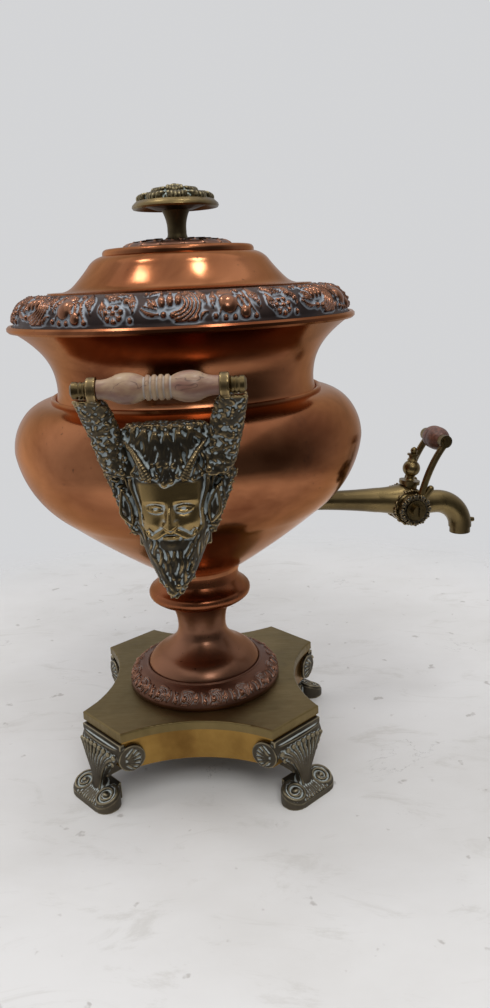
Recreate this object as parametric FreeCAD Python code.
# Copper hot-water urn: a bowl on a pedestal and footed plinth, two satyr-mask handles, a lever tap,
# a domed lid with a flower knob, and inside it a sleeve for a heated iron billet.
# Frame: origin on the urn's axis at the floor, +Z up, +X towards the tap's side, -Y the left handle.
import FreeCAD, Part
from math import atan2, cos, hypot, pi, radians, sin, sqrt
import os

# Fits
RUN_GAP = 0.05
LIFT_GAP = 0.3

# Plinth
FOOT_RISE = 28.0
SKIRT_HEIGHT = 26.0
SKIRT_WALL = 2.0
SKIRT_INSET = 3.0
STEP_INSET = 1.4
STEP_HEIGHT = 2.2
SLAB_THICKNESS = 7.0
SLAB_TOP_SHEET = 2.5
SLAB_RIM = 9.0
SLAB_EDGE_ROUND = 1.2
CORNER_REACH = 104.5
CORNER_WIDTH = 50.3
SIDE_REACH = 75.0

# Feet
TOE_OVERHANG = 10.0
VOLUTE_SPREAD = 14.0
VOLUTE_RADIUS = 10.5
TOE_HEIGHT = 4.5
VOLUTE_BOSS = ((0, 2.6), (0.25, 2.2), (0.32, 0.5))
VOLUTE_ROLL = ((0.59, 0.5), (0.72, 1.9), (1, 0.2), (0.91, -3.0), (0, -3.0))
TOE_SLOPE = 21.0
ANKLE_HEIGHT = 18.0
ANKLE_OVERHANG = 5.0
ANKLE_WIDTH = 12.5
ANKLE_DEPTH = 9.0
LEAF_WIDTH = 50.0
LEAF_DEPTH = 9.5
FOOT_BAR_HEIGHT = 4.5
FOOT_BAR_DEPTH = 4.5
WING_RADIUS = 10.5
WING_THICKNESS = 3.6
FOOT_LUG_LENGTH = 16.0
FOOT_LUG_WIDTH = 18.0
FOOT_LUG_HEIGHT = 8.0
FOOT_SCREW_RADIUS = 2.0
FOOT_SCREW_HEIGHT = 41.0
FOOT_SCREW_DEPTH = 5.5
FOOT_SCREW_HEAD = 4.0

# Pedestal and collar
PEDESTAL_HEIGHT = 68.5
PEDESTAL_FOOT_RADIUS = 45.5
PEDESTAL_FOOT_HEIGHT = 16.5
PEDESTAL_WALL = 1.5
WAIST_RADIUS = 19.6
WAIST_HEIGHT = 49.0
PEDESTAL_TOP_RADIUS = 25.5
BORDER_WIDTH = 16.3
BORDER_FULLNESS = 1.7
BORDER_EDGE = 3.0
BORDER_WALL = 1.2
BORDER_BEAD = 1.2
COLLAR_HEIGHT = 28.0
COLLAR_RADIUS = 41.0
COLLAR_WALL = 1.8
COLLAR_OUTLINE = ((14, 0), (6, 0.09), (1, 0.22), (0, 0.36), (2.2, 0.49), (6.4, 0.62), (9, 0.76))
TIE_RADIUS = 4.0
TIE_HEAD_RADIUS = 9.0
TIE_HEAD_HEIGHT = 5.0
TIE_WASHER_RADIUS = 15.0
TIE_WASHER_THICKNESS = 2.5
TIE_NUT_WIDTH = 14.0
TIE_NUT_HEIGHT = 6.5
TIE_TAIL = 2.0

# Bowl
SHEET = 1.5
BOWL_FOOT_RADIUS = 33.0
BOWL_FOOT_HEIGHT = 3.0
BOWL_RADIUS = 131.2
BELLY_RISE = 103.5
SHOULDER_RISE = 35.0
SHOULDER_TOP_RADIUS = 101.5

# Neck and rim
NECK_LAND = 3.2
SEAM_BEAD = 1.3
THROAT_SETBACK = 5.5
SEAM_FLARE = 2.8
THROAT_RISE = 7.0
FLARE_RISE = 45.5
FLARE_RADIUS = 124.5
FLARE_POWER = 2.5
ROLL_RADIUS = 2.5
RIM_PLATE_WIDTH = 6.0
RIM_PLATE_THICKNESS = 2.0
BAND_SETBACK = 1.9
BAND_RISE = 21.0
BAND_SHOULDER_RADIUS = 98.0
BAND_WALL = 1.2
BAND_FULLNESS = 2.4
LID_SEAT_WIDTH = 7.5

# Lid and knob
LID_WALL = 1.2
LEDGE_SETBACK = 2.0
FLANK_SETBACK = 2.0
LID_STEP_RADIUS = 55.0
LID_FLANK_RISE = 24.0
LID_STEP_RISE = 4.4
LID_STEP_ROUND = 3.2
LID_RING_DEPTH = 9.0
ROSETTE_RADIUS = 40.0
ROSETTE_RISE = 4.4
ROSETTE_HUB = 11.0
ROSETTE_WALL = 1.0
ROSETTE_FULLNESS = 2.3
STEM_HEIGHT = 25.5
STEM_FOOT_RADIUS = 9.4
STEM_OUTLINE = ((-1.6, 0.07), (-2.5, 0.24), (-1.6, 0.59))
STEM_TOP_RADIUS = 13.5
STUD_RADIUS = 3.0
KNOB_WASHER_RADIUS = 8.0
KNOB_WASHER_THICKNESS = 1.5
KNOB_NUT_WIDTH = 10.0
KNOB_NUT_HEIGHT = 5.0
STUD_TAIL = 1.0
DISH_RADIUS = 31.2
DISH_DROP = 3.6
DISH_WALL = 1.7
DISH_LIP = 1.6
FLOWER_SETBACK = 3.7
FLOWER_RISE = 10.0
FLOWER_PETALS = 10
FLOWER_FULLNESS = 1.8
PETAL_RADIUS = 5.6

# Handles
GRIP_STANDOFF = 23.8
GRIP_RISE = 22.0
GRIP_HALF_LENGTH = 34.8
GRIP_NECK_RADIUS = 5.6
GRIP_BULB_RADIUS = 9.0
GRIP_BEAD_RADIUS = 7.3
GRIP_BEADS = 4
GRIP_BEADED_LENGTH = 15.0
EYE_RADIUS = 7.3
EYE_WIDTH = 5.6
ROD_RADIUS = 3.0
ROD_CAP_RADIUS = 5.0
ROD_CAP_LENGTH = 9.6
ROD_CAP_BEADS = 3
ROD_CAP_BEAD = 2.4
ROD_CAP_GROOVE = 0.6
ROD_TAIL = 7.0
BACK_SINK = 4.2
MASK_STANDOFF = 14.8
MASK_HALF_WIDTH = 25.0
MASK_RISE = 2.0
HAIR_HEIGHT = 34.0
FACE_HEIGHT = 45.0
BEARD_LENGTH = 32.0
MASK_OUTLINE = (
    (0.02, 0.96, 9.0),
    (0.15, 1.16, 13.5),
    (0.31, 1.12, 17.0),
    (0.47, 1.0, 18.0),
    (0.61, 0.86, 18.5),
    (0.75, 0.66, 17.5),
    (0.86, 0.46, 14.0),
    (0.95, 0.28, 9.0),
    (1.0, 0.1, 4.0),
)
ARM_WIDTH = 18.0
ARM_DEPTH = 11.0
ARM_FOOT_SPREAD = 26.0
ARM_FOOT_STANDOFF = 5.8
ARM_EYE_OVERHANG = 3.6
HORN_RADIUS = 4.6
HORN_TIP_RADIUS = 1.3
HORN_SPREAD = 10.0
HORN_SPLAY = 14.0
HORN_LENGTH = 23.0
HORN_RINGS = 5
NOSE_OUTLINE = ((-0.5, 2.0, 4.2, 5.0), (3.0, 1.6, 3.6, 6.6), (7.5, 2.2, 2.6, 4.6), (16.5, 2.6, 2.4, 2.2))
EAR_OUTLINE = ((-8, -2.5, 2.2, 3.0), (0, 1.2, 4.2, 4.6), (8, 3.6, 3.4, 3.6), (14, 5.6, 1.0, 1.2))
EAR_SETBACK = 12.5
BRACKET_SCREW_DROP = 2.0
BRACKET_SCREW_SPREAD = 14.0
BRACKET_SCREW_RADIUS = 2.0
BRACKET_SCREW_DEPTH = 8.0
BRACKET_SCREW_HEAD = 4.0
BRACKET_WASHER_RADIUS = 6.0
BRACKET_WASHER_THICKNESS = 1.2

# Tap, laid out along its own axis and then turned to its place
TAP_TURN = 14.0
PLUG_STANDOFF = 48.3
PLUG_RISE = 30.5
PIPE_SLOPE = 5.4
PIPE_RISE = 3.8
PIPE_ROOT_RADIUS = 7.8
PIPE_BORE_RADIUS = 3.4
PIPE_LENGTH = 110.0
PIPE_FLARE = ((6.0, 5.6), (13.0, 4.0), (28.0, 2.4), (49.0, 0.8), (70.0, 0.0))
PIPE_PROTRUSION = 2.0
SADDLE_RADIUS = 12.0
SADDLE_THICKNESS = 2.5
BOSS_RADIUS = 14.4
BOSS_HALF_LENGTH = 13.0
BOSS_STEP = 1.8
BOSS_STEPS = 3
SPOUT_START = 25.3
SPOUT_BEND = 24.5
SPOUT_RADIUS = 9.6
SPOUT_BORE_RADIUS = 4.5
NOZZLE_RADIUS = 8.7
NOZZLE_LENGTH = 9.0
NOZZLE_DROP = 5.0
LIP_HEIGHT = 9.5
LIP_REACH = 12.6
LIP_RADIUS = 1.8
FINIAL_LEAN = 8.0
FLANGE_RADIUS = 8.6
FLANGE_RISE = 21.0
FLANGE_THICKNESS = 3.0
FINIAL_STUD_RADIUS = 2.0
FINIAL_STUD_LENGTH = 8.0
FINIAL_BALL = ((4.6, 0), (3.4, 2.0), (5.0, 5.0), (7.2, 10.0), (4.0, 15.8))
FINIAL_DISC = ((4.0, 15.8), (4.4, 17.2), (3.4, 18.6), (3.4, 20.2), (5.0, 21.0), (5.0, 22.2), (2.2, 22.8))
FINIAL_TIP = ((2.2, 22.8), (2.8, 25.4), (0, 28.2))
PLUG_RADIUS = 9.0
PLUG_TAPER = 0.5
JOURNAL_RADIUS = 7.0
PLUG_PORT_RADIUS = 3.0
OPEN_ANGLE = 60.0
YOKE_WIDTH = 6.0
YOKE_EYE_RADIUS = 12.6
ARM_ANGLE = 25.2
ARM_LENGTH = 60.5
ARM_BOW = ((0.18, 1.0), (0.4, -0.8), (0.7, -1.2), (0.98, 1.6))
ARM_STUB = ((0.18, 4.0), (0.34, 6.0))
YOKE_ARM_RADIUS = 2.8
YOKE_TIP_RADIUS = 5.2
TAP_GRIP_RADIUS = 9.25
TAP_GRIP_END_RADIUS = 5.0
TAP_GRIP_CROWN = 1.2
TAP_GRIP_ROUND = 4.0
GRIP_PIN_RADIUS = 1.6
PIN_HEAD_RADIUS = 2.8
PLUG_WASHER_RADIUS = 8.2
PLUG_WASHER_THICKNESS = 1.7
PLUG_SCREW_RADIUS = 2.2
PLUG_SCREW_DEPTH = 9.0
PLUG_SCREW_HEAD_RADIUS = 4.8
PLUG_SCREW_HEAD_LENGTH = 5.0
SCREW_SLOT = 1.2

# Heater core
SLEEVE_RADIUS = 29.0
SLEEVE_HEIGHT = 171.0
SLEEVE_FLOOR = 8.0
BILLET_RADIUS = 24.0
BILLET_LENGTH = 105.0
BILLET_EYE_RADIUS = 9.0
BILLET_EYE_HEIGHT = 20.0
BILLET_EYE_HOLE = 5.0
BILLET_EYE_ROOF = 3.0
BILLET_EDGE = 3.0
CAP_OVERHANG = 2.0
CAP_LIP_DEPTH = 6.0
CAP_KNOB_OUTLINE = ((3.6, 0), (3.0, 2.5), (5.5, 5.0), (7.0, 9.0), (0, 14.0))

# Places that follow from the sizes above
SKIRT_TOP = FOOT_RISE + SKIRT_HEIGHT
SLAB_TOP = SKIRT_TOP + SLAB_THICKNESS
PEDESTAL_TOP = SLAB_TOP + PEDESTAL_HEIGHT
COLLAR_TOP = PEDESTAL_TOP + COLLAR_HEIGHT
BELLY_BASE = COLLAR_TOP + BOWL_FOOT_HEIGHT
BELLY_HEIGHT = BELLY_BASE + BELLY_RISE
BOWL_TOP = BELLY_HEIGHT + SHOULDER_RISE
THROAT_HEIGHT = BOWL_TOP + THROAT_RISE
FLARE_TOP = THROAT_HEIGHT + FLARE_RISE
RIM_PLATE_TOP = FLARE_TOP + RIM_PLATE_THICKNESS
BAND_TOP = RIM_PLATE_TOP + BAND_RISE
LID_FLANK_BASE = BAND_TOP + LID_WALL
LID_STEP_BASE = LID_FLANK_BASE + LID_FLANK_RISE
LID_TOP = LID_STEP_BASE + LID_STEP_RISE
ROSETTE_TOP = LID_TOP + ROSETTE_RISE
STEM_TOP = ROSETTE_TOP + STEM_HEIGHT
DISH_TOP = STEM_TOP + DISH_WALL
BOWL_FLOOR = COLLAR_TOP + SHEET
SLEEVE_TOP = BOWL_FLOOR + SLEEVE_HEIGHT
BILLET_SEAT = BOWL_FLOOR + SLEEVE_FLOOR + SHEET
TIE_SEAT = SLAB_TOP - SLAB_TOP_SHEET
MASK_TOP = BOWL_TOP + MASK_RISE
HAIRLINE = MASK_TOP - HAIR_HEIGHT
CHIN = HAIRLINE - FACE_HEIGHT
BEARD_TIP = CHIN - BEARD_LENGTH
GRIP_HEIGHT = MASK_TOP + GRIP_RISE
BRACKET_SCREW_HEIGHT = BELLY_HEIGHT - BRACKET_SCREW_DROP
PLUG_HEIGHT = BELLY_BASE + PLUG_RISE
VOLUTE_REACH = CORNER_REACH + TOE_OVERHANG
ANKLE_REACH = CORNER_REACH + ANKLE_OVERHANG
BORDER_RADIUS = PEDESTAL_FOOT_RADIUS + BORDER_WIDTH
THROAT_RADIUS = SHOULDER_TOP_RADIUS - THROAT_SETBACK
BAND_RADIUS = FLARE_RADIUS - BAND_SETBACK
MOUTH_RADIUS = BAND_SHOULDER_RADIUS - LID_SEAT_WIDTH
LID_LEDGE_RADIUS = BAND_SHOULDER_RADIUS - LEDGE_SETBACK
LID_FLANK_FOOT = MOUTH_RADIUS - FLANK_SETBACK
FLOWER_RADIUS = DISH_RADIUS - FLOWER_SETBACK
GRIP_REACH = BOWL_RADIUS + GRIP_STANDOFF
BRACKET_BACK = BOWL_RADIUS - BACK_SINK
MASK_REACH = BOWL_RADIUS + MASK_STANDOFF
PLUG_REACH = BOWL_RADIUS + PLUG_STANDOFF

UP = FreeCAD.Vector(0, 0, 1)
ORIGIN = FreeCAD.Vector(0, 0, 0)


def point(x, y, z):
    """A point or direction in the part's frame."""
    return FreeCAD.Vector(x, y, z)


def save(name, *solids):
    """Write one node as a STEP file."""
    shape = solids[0] if len(solids) == 1 else Part.makeCompound(list(solids))
    shape.exportStep("parts/" + name + ".step")


def turn(shape, angle, axis=UP, centre=ORIGIN):
    """A copy of the shape turned about an axis."""
    turned = shape.copy()
    turned.rotate(centre, axis, angle)
    return turned


def cylinder(radius, length, base, axis=UP):
    """A round bar from its base along its axis."""
    return Part.makeCylinder(radius, length, base, axis)


def edges_through(points):
    """A straight edge, arcs through threes of points, or one curve where they end on the axis."""
    if len(points) == 2:
        return [Part.LineSegment(points[0], points[1]).toShape()]
    if points[-1].x < RUN_GAP:
        curve = Part.BSplineCurve()
        curve.interpolate(points)
        return [curve.toShape()]
    edges = []
    for index in range(0, len(points) - 2, 2):
        start, middle, end = points[index:index + 3]
        bow = (end - start).cross(middle - start).Length
        arc = Part.Arc(start, middle, end) if bow > 1e-4 else Part.LineSegment(start, end)
        edges.append(arc.toShape())
    return edges


def section(*runs):
    """A closed face in the radius and height plane; each run starts where the last one ended."""
    edges = []
    first = point(runs[0][0][0], 0, runs[0][0][1])
    last = first
    for run in runs:
        points = [point(radius, 0, height) for radius, height in run]
        if last.distanceToPoint(points[0]) > 1e-6:
            edges += edges_through([last, points[0]])
        edges += edges_through(points)
        last = points[-1]
    if last.distanceToPoint(first) > 1e-6:
        edges += edges_through([last, first])
    return Part.Face(Part.Wire(edges))


def spun(face, centre=ORIGIN, axis=UP, angle=360):
    """The solid that a face sweeps about an axis."""
    solid = face.revolve(centre, axis, angle)
    return solid if solid.Volume > 0 else solid.reversed()


def lathe(*runs):
    """A turned solid about the urn's axis from the runs of its section."""
    return spun(section(*runs))


def polyline(*points):
    """Straight runs through the points, in order."""
    return [list(pair) for pair in zip(points[:-1], points[1:])]


def offset_run(run, distance):
    """The run moved sideways, to the left of its direction, by a distance."""
    moved = []
    for index, (radius, height) in enumerate(run):
        before = run[max(index - 1, 0)]
        after = run[min(index + 1, len(run) - 1)]
        outward = after[0] - before[0]
        upward = after[1] - before[1]
        length = hypot(outward, upward)
        moved.append((radius - upward / length * distance, height + outward / length * distance))
    return moved


def quarter_round(centre_radius, centre_height, reach, rise, fullness=2.0, steps=4):
    """A run from the outermost point, over a rounded shoulder, to the topmost one."""
    run = []
    for index in range(steps + 1):
        angle = pi / 2 * index / steps
        outward = abs(cos(angle)) ** (2 / fullness) if index < steps else 0.0
        upward = sin(angle) ** (2 / fullness)
        run.append((centre_radius + reach * outward, centre_height + rise * upward))
    return run


def bead_ring(radius, height, size):
    """A ring of eight-sided section about the urn's axis."""
    corners = []
    for index in range(9):
        angle = pi / 8 + pi / 4 * index
        corners.append((radius + size * cos(angle), height + size * sin(angle)))
    return lathe(*polyline(*corners))


def swelling(share, warp):
    """A smooth S-shaped passage from 0 to 1, its middle shifted by the warp."""
    return (1 - cos(pi * share ** warp)) / 2


def hexagon(width, height, base):
    """A nut blank of a width across its flats."""
    reach = width / sqrt(3)
    corners = [base + point(reach * cos(pi / 3 * k), reach * sin(pi / 3 * k), 0) for k in range(7)]
    return Part.Face(Part.makePolygon(corners)).extrude(point(0, 0, height))


def slotted_screw(base, axis, shank_radius, shank_length, head_radius, head_length):
    """A screw whose head stands at its base against the axis, with the shank along the axis."""
    shank = cylinder(shank_radius, shank_length, base, axis)
    head = cylinder(head_radius, head_length, base, axis * -1)
    slot_corner = point(-SCREW_SLOT / 2, -head_radius - 1, 0)
    slot = Part.makeBox(SCREW_SLOT, 2 * head_radius + 2, head_length, slot_corner)
    slot.Placement = FreeCAD.Placement(ORIGIN, FreeCAD.Rotation(UP, axis * -1)).multiply(slot.Placement)
    slot.translate(base - axis * (head_length * 0.6))
    return shank.fuse(head).cut(slot)


def plinth_plan(inset, height):
    """The plinth's plan at a height: four straight corner faces joined by four hollow sides."""
    centre, radius = side_arc()
    reach = CORNER_REACH - inset
    across = centre / sqrt(2) - sqrt((radius + inset) ** 2 - (reach - centre / sqrt(2)) ** 2)
    far = (reach + across) / sqrt(2)
    near = (reach - across) / sqrt(2)
    edges = []
    for quarter in range(4):
        start = turn_point(far, -near, height, 90 * quarter)
        middle = turn_point(SIDE_REACH - inset, 0, height, 90 * quarter)
        end = turn_point(far, near, height, 90 * quarter)
        following = turn_point(near, far, height, 90 * quarter)
        edges.append(Part.Arc(start, middle, end).toShape())
        edges.append(Part.LineSegment(end, following).toShape())
    return Part.Face(Part.Wire(edges))


def side_arc():
    """Centre distance and radius of a hollow side's arc."""
    corner_x = (CORNER_REACH + CORNER_WIDTH / 2) / sqrt(2)
    corner_y = (CORNER_REACH - CORNER_WIDTH / 2) / sqrt(2)
    depth = corner_x - SIDE_REACH
    radius = (depth ** 2 + corner_y ** 2) / (2 * depth)
    return SIDE_REACH + radius, radius


def turn_point(x, y, z, angle):
    """A point turned about the urn's axis."""
    c = cos(radians(angle))
    s = sin(radians(angle))
    return point(x * c - y * s, x * s + y * c, z)


def plinth_block(inset, base, height):
    """A plate of the plinth's plan."""
    return plinth_plan(inset, base).extrude(point(0, 0, height))


def base_slab():
    """The top plate, hollowed from below, with a hole for the tie bolt."""
    plate = plinth_block(0, SKIRT_TOP, SLAB_THICKNESS)
    rim = [edge for edge in plate.Edges if abs(edge.BoundBox.ZMin - SLAB_TOP) < 1e-6]
    plate = plate.makeFillet(SLAB_EDGE_ROUND, rim)
    plate = plate.cut(plinth_block(SLAB_RIM, SKIRT_TOP, SLAB_THICKNESS - SLAB_TOP_SHEET))
    return plate.cut(cylinder(TIE_RADIUS + LIFT_GAP, SLAB_THICKNESS, point(0, 0, SKIRT_TOP)))


def base_skirt():
    """The plinth's bent wall with a stepped flange under the slab."""
    wall = plinth_block(SKIRT_INSET, FOOT_RISE, SKIRT_HEIGHT)
    wall = wall.cut(plinth_block(SKIRT_INSET + SKIRT_WALL, FOOT_RISE, SKIRT_HEIGHT))
    flange = plinth_block(STEP_INSET, SKIRT_TOP - STEP_HEIGHT, STEP_HEIGHT)
    flange = flange.cut(plinth_block(SLAB_RIM, SKIRT_TOP - STEP_HEIGHT, STEP_HEIGHT))
    skirt = wall.fuse(flange).removeSplitter()
    for quarter in range(4):
        start = point(0, 0, FOOT_SCREW_HEIGHT)
        hole = cylinder(FOOT_SCREW_RADIUS + RUN_GAP, CORNER_REACH, start, point(1, 0, 0))
        skirt = skirt.cut(turn(hole, 45 + 90 * quarter))
    return skirt


def ellipse_ring(x, y, z, half_x, half_y):
    """A level oval wire."""
    if half_x >= half_y:
        curve = Part.Ellipse(point(x, y, z), half_x, half_y)
        return Part.Wire(curve.toShape())
    curve = Part.Ellipse(point(x, y + half_y, z), point(x - half_x, y, z), point(x, y, z))
    return Part.Wire(curve.toShape())


def volute(side):
    """One scroll of the toe: a rolled rim, a channel and a round boss, tilted with the toe."""
    rim = [(VOLUTE_RADIUS * share, height) for share, height in VOLUTE_BOSS + VOLUTE_ROLL]
    disc = lathe(*polyline(*rim))
    disc.rotate(ORIGIN, point(0, 1, 0), TOE_SLOPE)
    height = TOE_HEIGHT + VOLUTE_RADIUS * sin(radians(TOE_SLOPE))
    disc.translate(point(VOLUTE_REACH, side * VOLUTE_SPREAD, height))
    return disc


def foot_casting():
    """A foot laid out along +X: scrolled toe, ankle, acanthus leaf with two wings, bar and seat lug."""
    heel = ANKLE_REACH - ANKLE_DEPTH
    toe_end = VOLUTE_REACH + VOLUTE_RADIUS
    pad_height = 2.0 * TOE_HEIGHT + ANKLE_DEPTH
    pad = Part.makeBox(toe_end - heel, 2 * VOLUTE_SPREAD, pad_height, point(heel, -VOLUTE_SPREAD, 0))
    for side in (-1, 1):
        pad = pad.fuse(cylinder(VOLUTE_RADIUS, pad_height, point(VOLUTE_REACH, side * VOLUTE_SPREAD, 0)))
    slope = Part.makeBox(4 * toe_end, 4 * toe_end, toe_end, point(-2 * toe_end, -2 * toe_end, 0))
    slope.rotate(ORIGIN, point(0, 1, 0), TOE_SLOPE)
    slope.translate(point(toe_end, 0, TOE_HEIGHT))
    foot = pad.cut(slope)
    for side in (-1, 1):
        foot = foot.fuse(volute(side))
    leaf_top = SKIRT_TOP - STEP_HEIGHT - FOOT_BAR_HEIGHT
    corner = CORNER_REACH - SKIRT_INSET
    rings = []
    stations = (
        (0.25 * ANKLE_HEIGHT, ANKLE_REACH, ANKLE_DEPTH * 0.75, ANKLE_WIDTH * 0.75),
        (ANKLE_HEIGHT, ANKLE_REACH, ANKLE_DEPTH / 2, ANKLE_WIDTH / 2),
        (FOOT_RISE, corner + 0.75 * LEAF_DEPTH, ANKLE_DEPTH / 2, LEAF_WIDTH * 0.26),
        (leaf_top, corner + 0.3 * LEAF_DEPTH, LEAF_DEPTH / 2, LEAF_WIDTH / 2),
    )
    for height, reach, half_depth, half_width in stations:
        rings.append(ellipse_ring(reach, 0, height, half_depth, half_width))
    foot = foot.fuse(Part.makeLoft(rings, True))
    bar_corner = point(corner, -LEAF_WIDTH / 2, leaf_top)
    bar = Part.makeBox(FOOT_BAR_DEPTH, LEAF_WIDTH, FOOT_BAR_HEIGHT, bar_corner)
    lug_start = corner - FOOT_LUG_LENGTH / 2
    lug = Part.makeBox(FOOT_LUG_LENGTH, FOOT_LUG_WIDTH, FOOT_LUG_HEIGHT,
                       point(lug_start, -FOOT_LUG_WIDTH / 2, FOOT_RISE - FOOT_LUG_HEIGHT))
    foot = foot.fuse(bar).fuse(lug)
    for side in (-1, 1):
        foot = foot.fuse(leaf_wing(side, leaf_top))
    plinth = turn(plinth_block(SKIRT_INSET, FOOT_RISE, SKIRT_HEIGHT), 45)
    foot = foot.cut(plinth)
    screw_end = corner + FOOT_SCREW_DEPTH
    start = point(0, 0, FOOT_SCREW_HEIGHT)
    hole = cylinder(FOOT_SCREW_RADIUS + RUN_GAP, screw_end, start, point(1, 0, 0))
    return foot.cut(hole).removeSplitter()


def leaf_wing(side, leaf_top):
    """A leaf lobe that hugs the hollow side beside the foot's corner."""
    centre, radius = side_arc()
    centre_x = centre / sqrt(2)
    centre_y = side * centre / sqrt(2)
    skin = radius + SKIRT_INSET
    sheet = cylinder(skin, SKIRT_HEIGHT, point(centre_x, centre_y, FOOT_RISE - 2))
    sheet = sheet.cut(cylinder(skin - WING_THICKNESS, SKIRT_HEIGHT, point(centre_x, centre_y, FOOT_RISE - 2)))
    corner = CORNER_REACH - SKIRT_INSET
    towards_corner = atan2(side * LEAF_WIDTH / 2 - centre_y, corner - centre_x)
    sweep = -side * 0.45 * WING_RADIUS / skin
    angle = towards_corner + sweep
    lobe = cylinder(WING_RADIUS, 2 * skin, point(centre_x, centre_y, leaf_top - WING_RADIUS * 0.8),
                    point(cos(angle), sin(angle), 0))
    return sheet.common(lobe)


def foot_screw():
    """A screw from inside the skirt into the foot, laid along +X."""
    inside = CORNER_REACH - SKIRT_INSET - SKIRT_WALL
    base = point(inside, 0, FOOT_SCREW_HEIGHT)
    length = SKIRT_WALL + FOOT_SCREW_DEPTH - LIFT_GAP
    head_length = 0.6 * FOOT_SCREW_HEAD
    return slotted_screw(base, point(1, 0, 0), FOOT_SCREW_RADIUS, length, FOOT_SCREW_HEAD, head_length)


def pedestal_run():
    """The trumpet's outline from its foot, in to the waist and out to the top."""
    foot_height = SLAB_TOP + PEDESTAL_FOOT_HEIGHT
    waist_height = SLAB_TOP + WAIST_HEIGHT
    run = []
    for index in range(7):
        share = 1 - index / 6
        radius = WAIST_RADIUS + (PEDESTAL_FOOT_RADIUS - WAIST_RADIUS) * swelling(share, 1.5)
        run.append((radius, waist_height - (waist_height - foot_height) * share))
    for index in range(1, 3):
        share = index / 2
        radius = WAIST_RADIUS + (PEDESTAL_TOP_RADIUS - WAIST_RADIUS) * share ** 2
        run.append((radius, waist_height + (PEDESTAL_TOP - waist_height) * share))
    return run


def pedestal():
    """The spun stem with a plain drum under the border and a flat top with a bolt hole."""
    foot_height = SLAB_TOP + PEDESTAL_FOOT_HEIGHT
    drum_inner = PEDESTAL_FOOT_RADIUS - PEDESTAL_WALL
    inner = offset_run(pedestal_run(), PEDESTAL_WALL)
    inner[0] = (drum_inner, foot_height - PEDESTAL_WALL / 2)
    inner[-1] = (PEDESTAL_TOP_RADIUS - PEDESTAL_WALL, PEDESTAL_TOP)
    inner.reverse()
    drum = [(PEDESTAL_FOOT_RADIUS, SLAB_TOP), (PEDESTAL_FOOT_RADIUS, foot_height)]
    trumpet = lathe(drum, pedestal_run(), inner, [inner[-1], (drum_inner, SLAB_TOP)])
    plate_radius = PEDESTAL_TOP_RADIUS - PEDESTAL_WALL / 2
    plate = cylinder(plate_radius, PEDESTAL_WALL, point(0, 0, PEDESTAL_TOP - PEDESTAL_WALL))
    hole = cylinder(TIE_RADIUS + LIFT_GAP, PEDESTAL_WALL, point(0, 0, PEDESTAL_TOP - PEDESTAL_WALL))
    return trumpet.fuse(plate).cut(hole)


def pedestal_border():
    """The stamped ring round the pedestal's foot, with a bead along its inner edge."""
    inner_radius = PEDESTAL_FOOT_RADIUS + RUN_GAP
    edge_top = SLAB_TOP + BORDER_EDGE
    rise = PEDESTAL_FOOT_HEIGHT - BORDER_EDGE - BORDER_BEAD
    crest = inner_radius + BORDER_BEAD
    width = BORDER_RADIUS - crest
    outer = quarter_round(crest, edge_top, width, rise, BORDER_FULLNESS)
    inner = quarter_round(crest, edge_top, width - BORDER_WALL, rise - BORDER_WALL, BORDER_FULLNESS)
    inner.reverse()
    ring = lathe([(BORDER_RADIUS, SLAB_TOP), (BORDER_RADIUS, edge_top)], outer,
                 [outer[-1], (inner_radius, edge_top + rise)],
                 [(inner_radius, edge_top + rise), (inner_radius, edge_top + rise - BORDER_WALL)],
                 [(inner_radius, edge_top + rise - BORDER_WALL), inner[0]], inner,
                 [inner[-1], (BORDER_RADIUS - BORDER_WALL, SLAB_TOP)])
    bead = bead_ring(inner_radius + BORDER_BEAD, edge_top + rise, BORDER_BEAD)
    return ring.fuse(bead).removeSplitter()


def collar():
    """The hollow knop between pedestal and bowl, with a bolt hole through both ends."""
    outer = []
    for setback, share in COLLAR_OUTLINE:
        outer.append((COLLAR_RADIUS - setback, PEDESTAL_TOP + COLLAR_HEIGHT * share))
    neck_radius, neck_height = outer[-1]
    floor_height = PEDESTAL_TOP + COLLAR_WALL
    ceiling_height = COLLAR_TOP - COLLAR_WALL
    inner = offset_run(outer, COLLAR_WALL)
    inner[0] = (PEDESTAL_TOP_RADIUS, floor_height)
    inner[-1] = (neck_radius - COLLAR_WALL, neck_height)
    inner.reverse()
    bolt_hole = TIE_RADIUS + LIFT_GAP
    return lathe([(bolt_hole, PEDESTAL_TOP), outer[0]], outer,
                 [outer[-1], (neck_radius, COLLAR_TOP)],
                 [(neck_radius, COLLAR_TOP), (bolt_hole, COLLAR_TOP)],
                 [(bolt_hole, COLLAR_TOP), (bolt_hole, ceiling_height)],
                 [(bolt_hole, ceiling_height), (inner[0][0], ceiling_height)],
                 [(inner[0][0], ceiling_height), inner[0]], inner,
                 [inner[-1], (bolt_hole, floor_height)])


def tie_bolt():
    """The bolt that draws bowl, collar, pedestal and slab together."""
    bottom = TIE_SEAT - TIE_WASHER_THICKNESS - TIE_NUT_HEIGHT - TIE_TAIL
    shank = cylinder(TIE_RADIUS, BOWL_FLOOR - bottom, point(0, 0, bottom))
    return shank.fuse(cylinder(TIE_HEAD_RADIUS, TIE_HEAD_HEIGHT, point(0, 0, BOWL_FLOOR)))


def tie_washer():
    """The washer under the slab."""
    base = point(0, 0, TIE_SEAT - TIE_WASHER_THICKNESS)
    disc = cylinder(TIE_WASHER_RADIUS, TIE_WASHER_THICKNESS, base)
    return disc.cut(cylinder(TIE_RADIUS + RUN_GAP, TIE_WASHER_THICKNESS, base))


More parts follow.
